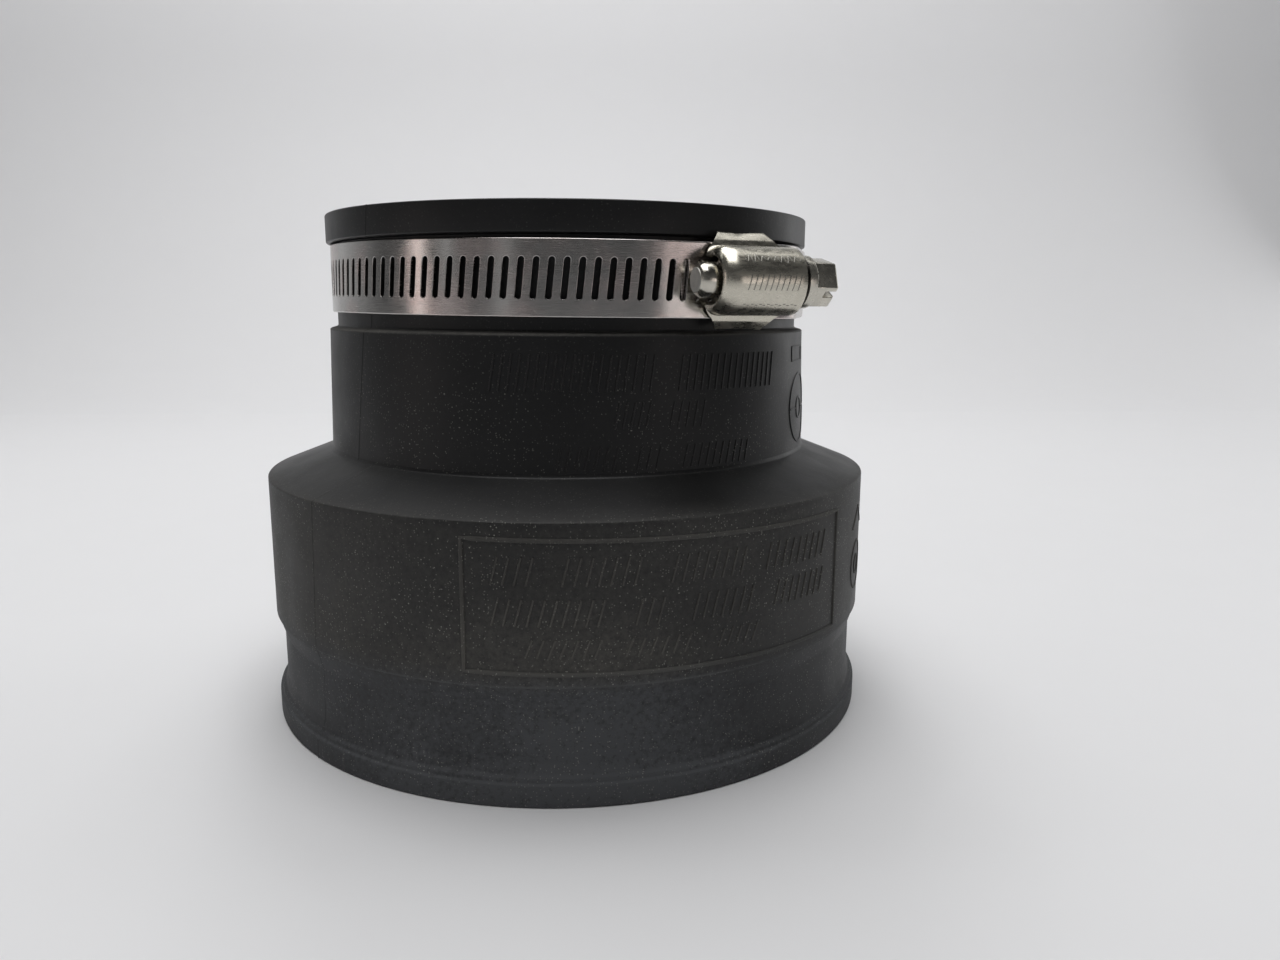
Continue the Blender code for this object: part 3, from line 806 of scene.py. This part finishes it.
def build_stamp(material):
    """Plain stamped strokes on the barrel: one wavy line and rows of dashes."""
    paths = []
    wave = []
    for k in range(97):
        s = k / 96.0
        swing = 8.5 * math.sin(TURN * 8.5 * s) * (0.7 + 0.3 * math.sin(TURN * 1.7 * s))
        wave.append((11.0 + 11.2 * s, 52.0 + swing))
    paths.append(wave)
    for k in range(10):
        t = 11.2 + 1.1 * k
        paths.append([(t + 0.7 * j / 6.0, 106.0 - 26.0 * j / 6.0) for j in range(7)])
    for k in range(14):
        t = 11.0 + 0.8 * k
        paths.append([(t + 0.5 * j / 2.0, 132.0 + 2.0 * (k % 2)) for j in range(3)])
    points = []
    faces = []
    for path in paths:
        start = len(points)
        for i, (t, degrees) in enumerate(path):
            ahead = path[min(i + 1, len(path) - 1)]
            behind = path[max(i - 1, 0)]
            turned = math.radians(ahead[1] - behind[1])
            step = Vector((ahead[0] - behind[0], turned * BARREL_R))
            side = Vector((-step.y, step.x)).normalized() * STAMP_HALF_WIDTH
            for across, height in ((-1, -0.05), (-0.5, 0.025), (0.5, 0.025), (1, -0.05)):
                turn = degrees + math.degrees(side.y * across / BARREL_R)
                points.append(barrel_point(t + side.x * across, turn, height))
        faces += ring_faces(start, 4, len(path))
        end = start + 4 * (len(path) - 1)
        faces.append((start, start + 1, start + 2, start + 3))
        faces.append((end + 3, end + 2, end + 1, end))
    stamp = add_mesh("stamped_strokes", points, faces)
    shade(stamp, 60.0)
    return ride(stamp, "clamp_head", "housing_steel", material)


def build_saddle(material):
    """The plate under the strip, its ends eased down and its edges rounded."""
    points = []
    stations = [7.8, 8.1, 8.6, 9.4] + spread(9.4, 20.1, 1.5) + [20.9, 21.4, 21.7]
    for t in stations:
        ease = max(0.0, 8.6 - t, t - 20.9) * 0.2
        outer = SADDLE_OUTER_N - ease
        for n, side in ((SADDLE_INNER_N, -1.0), (outer, -1.0), (outer, 1.0), (SADDLE_INNER_N, 1.0)):
            points.append(clamp_point(t, n, side * STRIP_HALF))
    faces = ring_faces(0, 4, len(stations))
    last = 4 * (len(stations) - 1)
    faces += [(0, 1, 2, 3), (last + 3, last + 2, last + 1, last)]
    saddle = add_mesh("saddle_plate", points, faces)
    round_edges(saddle, 0.1, 40.0, 2)
    return ride(saddle, "clamp_head", "housing_steel", material, "clamp_saddle")


# ---------------------------------------------------------------- screw

def screw_point(t, r, angle):
    """A point about the screw's axis, the angle counted from across towards out."""
    return clamp_point(t, SCREW_N + r * math.sin(angle), r * math.cos(angle))


def build_turned(name, corners, around=72):
    """A turned shape about the screw's axis from (t, radius, rounding) corners."""
    profile = round_corners(corners, steps=4, closed=False)
    points = []
    for t, r in profile:
        for k in range(around):
            points.append(screw_point(t, r, TURN * k / around))
    faces = ring_faces(0, around, len(profile))
    last = (len(profile) - 1) * around
    faces.append(tuple(range(around)))
    faces.append(tuple(range(last, last + around))[::-1])
    return add_mesh(name, points, faces)


def build_thread():
    """The right-hand worm thread, standing in the strip's slots."""
    base = THREAD_T0 - (THREAD_T0 - SLOT_PHASE_T) % SLOT_PITCH
    per_turn = 48
    steps = round(THREAD_TURNS * per_turn)
    section = (
        (-0.66, THREAD_ROOT_R), (-0.36, THREAD_TOP_R - 0.25), (-0.26, THREAD_TOP_R),
        (0.26, THREAD_TOP_R), (0.36, THREAD_TOP_R - 0.25), (0.66, THREAD_ROOT_R),
    )
    points = []
    for i in range(steps + 1):
        angle = TURN * (i / per_turn - 0.25)
        fade = min(1.0, i / 16.0, (steps - i) / 16.0)
        for offset, r in section:
            reach = THREAD_ROOT_R + (r - THREAD_ROOT_R) * (0.4 + 0.6 * fade)
            points.append(screw_point(base + SLOT_PITCH * i / per_turn + offset, reach, angle))
    size = len(section)
    faces = ring_faces(0, size, steps + 1)
    faces.append(tuple(range(size)))
    faces.append(tuple(range(size * steps, size * (steps + 1)))[::-1])
    return add_mesh("thread", points, faces)


def build_hexagon():
    """The driven head: a hexagon with eased corners and a driver slot."""
    corner = HEX_FLATS / math.sqrt(3.0)
    rings = ((COLLAR_T1 - 1.0, corner), (HEAD_T1 - 0.45, corner), (HEAD_T1, corner - 0.55))
    points = []
    for t, r in rings:
        for k in range(6):
            points.append(screw_point(t, r, TURN * k / 6.0 + HEX_TURN))
    faces = ring_faces(0, 6, 3) + [(0, 1, 2, 3, 4, 5), (17, 16, 15, 14, 13, 12)]
    head = add_mesh("hexagon", points, faces)
    corners = []
    c, s = math.cos(DRIVER_SLOT_ANGLE), math.sin(DRIVER_SLOT_ANGLE)
    for t in (HEAD_T1 - DRIVER_SLOT_DEPTH, HEAD_T1 + 2.0):
        for a, b in ((-8, -1), (8, -1), (8, 1), (-8, 1)):
            w = b * DRIVER_SLOT_WIDTH / 2.0
            corners.append(clamp_point(t, SCREW_N + a * c - w * s, a * s + w * c))
    sides = [(0, 1, 2, 3), (4, 5, 6, 7), (0, 1, 5, 4), (1, 2, 6, 5), (2, 3, 7, 6), (3, 0, 4, 7)]
    cut(head, add_mesh("slot_cutter", corners, sides))
    round_edges(head, 0.18, 25.0)
    return head


def build_tip_face(material):
    """The sheared, slightly dished end face of the button tip."""
    rings = ((0.05, 0.10), (0.9, 0.08), (1.6, 0.02), (2.15, -0.06), (2.2, 0.2))
    around = 48
    points = []
    for r, depth in rings:
        for k in range(around):
            points.append(screw_point(TIP_T + depth, r, TURN * k / around))
    faces = ring_faces(0, around, len(rings))
    faces.append(tuple(range(around)))
    last = around * (len(rings) - 1)
    faces.append(tuple(range(last, last + around))[::-1])
    tip = add_mesh("tip_face", points, faces)
    shade(tip, 50.0)
    return ride(tip, "clamp_screw", "screw_steel", material)


def build_screw(material):
    """The worm screw: button tip, neck, threaded barrel, collar and driven head."""
    core = build_turned("worm_screw_visual", (
        (TIP_T + 0.12, 0.02, 0.0), (TIP_T + 0.12, 2.0, 0.2), (TIP_T, 2.25, 0.1),
        (TIP_T + 0.3, 2.62, 0.3), (TIP_T + 0.95, 3.08, 0.9), (TIP_T + 3.3, BUTTON_R, 0.4),
        (TIP_T + 3.6, 2.6, 0.2), (8.8, 2.6, 0.2), (9.3, CORE_R, 0.2), (22.4, CORE_R, 0.3),
        (22.8, 3.0, 0.2), (COLLAR_T0, 3.0, 0.1), (COLLAR_T0, COLLAR_R, 0.3),
        (COLLAR_T1 - 0.1, COLLAR_R, 0.5), (COLLAR_T1, 4.0, 0.1), (COLLAR_T1, 0.02, 0.0),
    ))
    shade(core, 40.0)
    screw = join(core, [build_thread(), build_hexagon()])
    return ride(screw, "clamp_screw", "screw_steel", material, "worm_screw")


# ---------------------------------------------------------------- materials

# Paler patches: azimuth, radius, height and reach in mm, and share.
PALE_PATCHES = (
    (-36.0, 65.0, 14.0, 26.0, 0.16),
    (-56.0, 65.0, 12.0, 24.0, 0.22),
    (-48.0, 53.5, 58.0, 14.0, 0.05),
    (-4.0, 67.0, -4.0, 44.0, 0.90),
    (-60.0, 66.7, 36.0, 34.0, 0.08),
    (150.0, 65.0, 15.0, 30.0, 0.12),
)

# Heights in metres between which the dust fades out, or turns from cool to warm.
DUSTY_BELOW = (0.0500, 0.0535)
RIM_BELOW = (0.0045, 0.0055)
COOL_BELOW = (0.021, 0.026)
MANY_SPECKS_BELOW = (0.045, 0.085)
SHOULDER_HEIGHT = 0.0545

# Layers of specks: cells per metre, size in cells, share of cells, strength and stretch.
SPECKS = (
    (1900.0, 0.25, 0.50, 0.45, (1.0, 1.0, 1.0)),
    (1200.0, 0.17, 0.35, 0.60, (1.0, 1.0, 1.0)),
    (700.0, 0.11, 0.22, 0.80, (1.0, 1.0, 1.0)),
    (1000.0, 0.12, 0.12, 0.50, (1.0, 1.0, 0.45)),
    (1000.0, 0.12, 0.12, 0.50, (0.45, 0.45, 1.0)),
)

# Pale lines painted along edges: painted highlights at the ledges and the shoulder, dust at the
# rim; height in metres and share.
EDGE_DUST_AND_HIGHLIGHTS = ((0.0825, 0.80), (0.0517, 0.12), (0.0225, 0.40), (0.0055, 0.35), (0.0044, 0.35))


class Graph:
    """A small builder for one material's nodes."""

    def __init__(self, name):
        self.material = bpy.data.materials.new(name)
        self.material.use_nodes = True
        self.tree = self.material.node_tree
        self.shader = self.tree.nodes["Principled BSDF"]

    def node(self, kind, inputs=None, **settings):
        """A node with its settings; an input is a value or another node's output."""
        made = self.tree.nodes.new(kind)
        for key, value in settings.items():
            setattr(made, key, value)
        for key, value in (inputs or {}).items():
            self.feed(made.inputs[key], value)
        return made

    def feed(self, socket, value):
        """Set a socket's value or link an output to it."""
        if isinstance(value, bpy.types.NodeSocket):
            self.tree.links.new(value, socket)
        else:
            socket.default_value = value

    def coordinates(self, scale, source="Object"):
        """Texture coordinates stretched by a scale."""
        place = self.node("ShaderNodeTexCoord")
        return self.node(
            "ShaderNodeMapping", {"Vector": place.outputs[source], "Scale": scale}
        ).outputs["Vector"]

    def noise(self, scale, detail=4.0, stretch=(1.0, 1.0, 1.0), source="Object", rough=0.5):
        """Noise with one scale and an optional stretch."""
        spot = self.coordinates([scale * k for k in stretch], source)
        return self.node("ShaderNodeTexNoise", {
            "Vector": spot, "Scale": 1.0, "Detail": detail, "Roughness": rough,
        }).outputs["Fac"]

    def remap(self, value, low, high, to_low=0.0, to_high=1.0):
        """A clamped straight-line change of range."""
        return self.node("ShaderNodeMapRange", {
            "Value": value, "From Min": low, "From Max": high,
            "To Min": to_low, "To Max": to_high,
        }).outputs["Result"]

    def math(self, operation, a, b):
        """One arithmetic step."""
        return self.node("ShaderNodeMath", {0: a, 1: b}, operation=operation).outputs[0]

    def specks(self, scale, size, share, stretch=(1.0, 1.0, 1.0)):
        """Small scattered dots: a share of the cells hold one of the given size."""
        spot = self.coordinates([scale * k for k in stretch])
        cells = self.node("ShaderNodeTexVoronoi", {"Vector": spot, "Scale": 1.0})
        dot = self.remap(cells.outputs["Distance"], size * 0.6, size, 1.0, 0.0)
        chosen = self.node("ShaderNodeSeparateColor", {"Color": cells.outputs["Color"]})
        gate = self.remap(chosen.outputs["Red"], 1.0 - share, 1.0 - share + 0.02)
        return self.math("MULTIPLY", dot, gate)

    def mix(self, share, a, b):
        """Mix two colours."""
        made = self.node("ShaderNodeMix", data_type="RGBA")
        self.feed(made.inputs["Factor"], share)
        self.feed(made.inputs[6], a)
        self.feed(made.inputs[7], b)
        return made.outputs[2]

    def bump(self, height, strength, distance):
        """Raise the surface's normal by a height pattern."""
        made = self.node("ShaderNodeBump", {
            "Height": height, "Strength": strength, "Distance": distance,
        })
        self.feed(self.shader.inputs["Normal"], made.outputs["Normal"])


BLACK = (0.0052, 0.0052, 0.0058, 1.0)
DUST = (0.088, 0.085, 0.078, 1.0)
COOL_DUST = (0.080, 0.083, 0.088, 1.0)
PALE_DUST = (0.36, 0.36, 0.32, 1.0)
# Painted shadow colour for the shaded gap in front of the screw's collar.
GAP_SHADE_COLOUR = (0.03, 0.028, 0.025, 1.0)


def rubber_material(name, dust_more=0.0):
    """Satin black moulded rubber: mottled, dusty low down, with lint, paler patches and painted
    highlight lines along the ledges.
    """
    g = Graph(name)
    place = g.node("ShaderNodeTexCoord").outputs["Object"]
    height = g.node("ShaderNodeSeparateXYZ", {"Vector": place}).outputs["Z"]
    low = g.remap(height, *DUSTY_BELOW, 0.27, 0.02)
    base = g.remap(height, *RIM_BELOW, 0.20, 0.0)
    low = g.math("ADD", low, base)
    # Pale edge lines: painted highlights along the ledges and the shoulder, dust along the rim.
    for edge, share in EDGE_DUST_AND_HIGHLIGHTS:
        gap = g.math("ABSOLUTE", g.math("SUBTRACT", height, edge), 0.0)
        low = g.math("ADD", low, g.remap(gap, 0.0001, 0.0005, share, 0.0))
    for azimuth, r, z, reach, share in PALE_PATCHES:
        spot = radial(azimuth) * r * MM + Vector((0.0, 0.0, z * MM))
        away = g.node(
            "ShaderNodeVectorMath", {0: place, 1: spot}, operation="DISTANCE"
        ).outputs["Value"]
        low = g.math("ADD", low, g.remap(away, reach * 0.3 * MM, reach * MM, share, 0.0))
    patches = g.remap(g.noise(38.0, 5.0), 0.3, 0.72, 0.6, 1.3)
    mottle = g.remap(g.noise(900.0, 6.0, rough=0.75), 0.3, 0.7, 0.35, 1.65)
    # The film carries the dust, the paler patches and the painted edge highlights.
    dust_and_highlight_film = g.math("MULTIPLY", g.math("MULTIPLY", low, patches), mottle)
    dust_and_highlight_film = g.math("ADD", dust_and_highlight_film, g.math("MULTIPLY", low, dust_more))
    tone = g.mix(g.remap(height, *COOL_BELOW), COOL_DUST, DUST)
    colour = g.mix(dust_and_highlight_film, BLACK, tone)
    scrape = g.remap(g.noise(60.0, 3.0, (14.0, 14.0, 0.6)), 0.66, 0.74, 0.0, 0.25)
    colour = g.mix(g.math("MULTIPLY", scrape, low), colour, DUST)
    many = g.remap(height, *MANY_SPECKS_BELOW, 1.0, 0.15)
    many = g.math("MULTIPLY", many, g.remap(g.noise(70.0, 4.0), 0.35, 0.62, 0.25, 1.0))
    from_shoulder = g.math("ABSOLUTE", g.math("SUBTRACT", height, SHOULDER_HEIGHT), 0.0)
    many = g.math("MULTIPLY", many, g.remap(from_shoulder, 0.0018, 0.0030, 0.30, 1.0))
    for scale, size, share, strength, stretch in SPECKS:
        dots = g.math("MULTIPLY", g.specks(scale, size, share, stretch), many)
        colour = g.mix(g.math("MULTIPLY", dots, strength), colour, PALE_DUST)
    g.feed(g.shader.inputs["Base Color"], colour)
    gloss = g.remap(g.noise(90.0, 4.0), 0.3, 0.7, 0.38, 0.48)
    g.feed(g.shader.inputs["Roughness"], g.math("ADD", gloss, g.math("MULTIPLY", dust_and_highlight_film, 0.5)))
    g.shader.inputs["Specular IOR Level"].default_value = 0.32
    grain = g.math("ADD", g.noise(1400.0, 3.0), g.math("MULTIPLY", g.noise(120.0, 3.0), 3.0))
    g.bump(grain, 0.3, 0.00006)
    return g.material


def steel_material(name, colour, rough, streak, source="Object", tint=None, gap_shade_at=None):
    """Stainless steel with fine streaks, faint stains, worn gloss and perhaps a painted shadow
    ring.
    """
    g = Graph(name)
    lines = g.noise(1.0, 6.0, streak, source, rough=0.65)
    stains = g.noise(110.0 if source == "Object" else 0.11, 4.0, source=source)
    shade_low = tuple(0.86 * c for c in colour[:3]) + (1.0,)
    base = g.mix(g.remap(lines, 0.35, 0.65), shade_low, colour)
    if tint:
        base = g.mix(g.remap(stains, 0.45, 0.62, 0.0, 0.6), base, tint)
    # Painted shadow: a dark ring round the screw where the gap in front of its collar lies in
    # shade.
    if gap_shade_at:
        place = g.node("ShaderNodeTexCoord").outputs["Object"]
        along = g.node(
            "ShaderNodeVectorMath", {0: place, 1: ALONG}, operation="DOT_PRODUCT"
        ).outputs["Value"]
        middle = (gap_shade_at + LOOP_CENTRE.dot(ALONG)) * MM
        away = g.math("ABSOLUTE", g.math("SUBTRACT", along, middle), 0.0)
        outside_gap_shade = g.remap(away, GAP_SHADE_REACH * MM, (GAP_SHADE_REACH + 0.08) * MM)
        base = g.mix(outside_gap_shade, GAP_SHADE_COLOUR, base)
    g.feed(g.shader.inputs["Base Color"], base)
    g.shader.inputs["Metallic"].default_value = 1.0
    wear = g.remap(lines, 0.3, 0.7, rough - 0.07, rough + 0.08)
    worn = g.math("ADD", wear, g.remap(stains, 0.3, 0.7, -0.04, 0.06))
    g.feed(g.shader.inputs["Roughness"], worn)
    g.bump(lines, 0.18, 0.00003)
    return g.material


# ---------------------------------------------------------------- stage, light and camera

def plain_material(name, colour, roughness):
    """Floor and backdrop paint with the faintest mottle."""
    g = Graph(name)
    soft = tuple(0.985 * c for c in colour[:3]) + (1.0,)
    g.feed(g.shader.inputs["Base Color"], g.mix(g.noise(40.0, 3.0), soft, colour))
    g.shader.inputs["Roughness"].default_value = roughness
    g.shader.inputs["Specular IOR Level"].default_value = 0.2
    return g.material


def build_stage():
    """A wide pale floor, and a pale wall that curves up from it far behind."""
    reach = 2600.0
    wall_y = 900.0
    wall_sides = (-850.0, 1050.0)
    bend = 350.0
    high = 620.0
    line = [(wall_y - bend, 0.0)]
    for k in range(1, 13):
        angle = math.radians(90.0 * k / 12.0)
        line.append((wall_y - bend + bend * math.sin(angle), bend - bend * math.cos(angle)))
    line.append((wall_y, high))
    corners = ((-reach, -reach), (reach, -reach), (reach, reach), (-reach, reach))
    points = [Vector((x, y, 0.0)) for x, y in corners]
    for x in wall_sides:
        points += [Vector((x, y, z)) for y, z in line]
    count = len(line)
    faces = [(0, 1, 2, 3)]
    faces += [(k, k + 1, count + k + 1, count + k) for k in range(4, count + 3)]
    sweep = add_mesh("floor_sweep", points, faces)
    sweep.data.materials.append(plain_material("pale_floor", (0.75, 0.75, 0.76, 1.0), 0.6))


WHITE = (1.0, 1.0, 1.0)
WARM = (1.0, 0.87, 0.83)
LESS_WARM = (1.0, 0.90, 0.87)
BAND_LEVEL = (0.0, 0.0, 0.09)

# Lights: name, place, target and size in metres, power in watts and colour.
LIGHTS = (
    ("overhead", (-0.05, 0.0, 1.15), (0.0, 0.0, 0.0), (1.3, 0.9), 12.2, WHITE),
    ("wall_wash", (0.0, 0.25, 0.95), (0.0, 0.9, 0.3), (2.2, 0.3), 2.7, WHITE),
    ("rear_lamp", (-0.08, 0.75, 1.1), (0.0, 0.0, 0.05), (0.30, 0.14), 1.5, WHITE),
    ("left_card", (-0.89, -0.31, 0.12), BAND_LEVEL, (0.09, 0.4), 0.25, WARM),
    ("far_left_card", (-0.78, -0.53, 0.12), BAND_LEVEL, (0.06, 0.4), 0.05, WHITE),
    ("front_card", (-0.45, -0.78, 0.10), BAND_LEVEL, (0.10, 0.25), 0.03, WHITE),
    ("right_card", (0.56, -0.57, 0.08), BAND_LEVEL, (0.08, 0.22), 0.13, LESS_WARM),
    ("right_fill", (0.95, 0.55, 0.3), (0.0, 0.0, 0.07), (0.45, 0.5), 0.9, WHITE),
)


def add_light(name, place, target, size, power, colour):
    """A soft rectangular light turned towards a target, in metres."""
    data = bpy.data.lights.new(name, "AREA")
    data.shape = "RECTANGLE"
    data.size, data.size_y = size
    data.energy = power
    data.color = colour
    light = bpy.data.objects.new(name, data)
    light.location = place
    direction = Vector(target) - Vector(place)
    light.rotation_euler = direction.to_track_quat("-Z", "Y").to_euler()
    bpy.context.scene.collection.objects.link(light)


# The world's brightness goes by direction: from and to values front to back, low to high.
WORLD_RANGES = (("Y", (0.1, 0.75, 0.10, 0.60)), ("Z", (0.25, 0.75, 1.0, 0.35)))
BACKDROP = 0.62


def build_world():
    """Soft surroundings, darker in front and overhead, and a plain pale backdrop."""
    world = bpy.data.worlds.new("studio")
    world.use_nodes = True
    tree = world.node_tree
    place = tree.nodes.new("ShaderNodeTexCoord")
    split = tree.nodes.new("ShaderNodeSeparateXYZ")
    both = tree.nodes.new("ShaderNodeMath")
    both.operation = "MULTIPLY"
    tree.links.new(place.outputs["Generated"], split.inputs["Vector"])
    for slot, (axis, limits) in enumerate(WORLD_RANGES):
        change = tree.nodes.new("ShaderNodeMapRange")
        for key, value in zip(("From Min", "From Max", "To Min", "To Max"), limits):
            change.inputs[key].default_value = value
        tree.links.new(split.outputs[axis], change.inputs["Value"])
        tree.links.new(change.outputs["Result"], both.inputs[slot])
    seen = tree.nodes.new("ShaderNodeLightPath")
    choice = tree.nodes.new("ShaderNodeMix")
    choice.inputs["B"].default_value = BACKDROP
    tree.links.new(seen.outputs["Is Camera Ray"], choice.inputs["Factor"])
    tree.links.new(both.outputs[0], choice.inputs["A"])
    tree.links.new(choice.outputs["Result"], tree.nodes["Background"].inputs["Strength"])
    tree.nodes["Background"].inputs["Color"].default_value = (0.98, 0.99, 1.0, 1.0)
    bpy.context.scene.world = world


def build_camera():
    """The camera stands in front, a little below the sleeve's top, looking down slightly."""
    data = bpy.data.cameras.new("camera")
    data.lens = 26.74
    data.sensor_width = 36.0
    data.clip_start = 0.01
    camera = bpy.data.objects.new("camera", data)
    place = Vector((0.0, -0.22193, 0.08787))
    yaw, pitch, roll = 0.0733, 0.1836, 0.0054
    ahead = Vector((math.sin(yaw) * math.cos(pitch), math.cos(yaw) * math.cos(pitch),
                    -math.sin(pitch)))
    level = Vector((math.cos(yaw), -math.sin(yaw), 0.0))
    upright = level.cross(ahead)
    right = level * math.cos(roll) + upright * math.sin(roll)
    up = upright * math.cos(roll) - level * math.sin(roll)
    turn = Matrix((right, up, -ahead)).transposed()
    camera.matrix_world = Matrix.Translation(place) @ turn.to_4x4()
    bpy.context.scene.collection.objects.link(camera)
    bpy.context.scene.camera = camera


bpy.context.scene.view_settings.view_transform = "Standard"

rubber = rubber_material("rubber_black")
edge_rubber = rubber_material("rubber_marks", 1.4)
strip_steel = steel_material(
    "strip_stainless", (0.50, 0.485, 0.47, 1.0), 0.20, (0.35, 14.0, 1.0), "UV",
    (0.56, 0.47, 0.45, 1.0),
)
housing_steel = steel_material(
    "housing_stainless", (0.60, 0.57, 0.49, 1.0), 0.25, (500.0, 500.0, 1500.0)
)
stamp_steel = steel_material(
    "stamp_stainless", (0.30, 0.29, 0.26, 1.0), 0.42, (500.0, 500.0, 1500.0)
)
screw_steel = steel_material(
    "screw_stainless", (0.58, 0.555, 0.49, 1.0), 0.24, (700.0, 700.0, 700.0),
    # Where the painted shadow ring sits, in the gap in front of the collar.
    gap_shade_at=COLLAR_T0 - GAP_SHADE_REACH + 0.4,
)
sheared_steel = steel_material(
    "sheared_stainless", (0.78, 0.77, 0.73, 1.0), 0.55, (900.0, 900.0, 900.0)
)

build_sleeve(rubber)
build_marks(edge_rubber)
build_seams(rubber)
build_strip(strip_steel)
build_housing(housing_steel)
build_stamp(stamp_steel)
build_saddle(housing_steel)
build_screw(screw_steel)
build_tip_face(sheared_steel)
build_stage()
build_world()
for light_row in LIGHTS:
    add_light(*light_row)
build_camera()
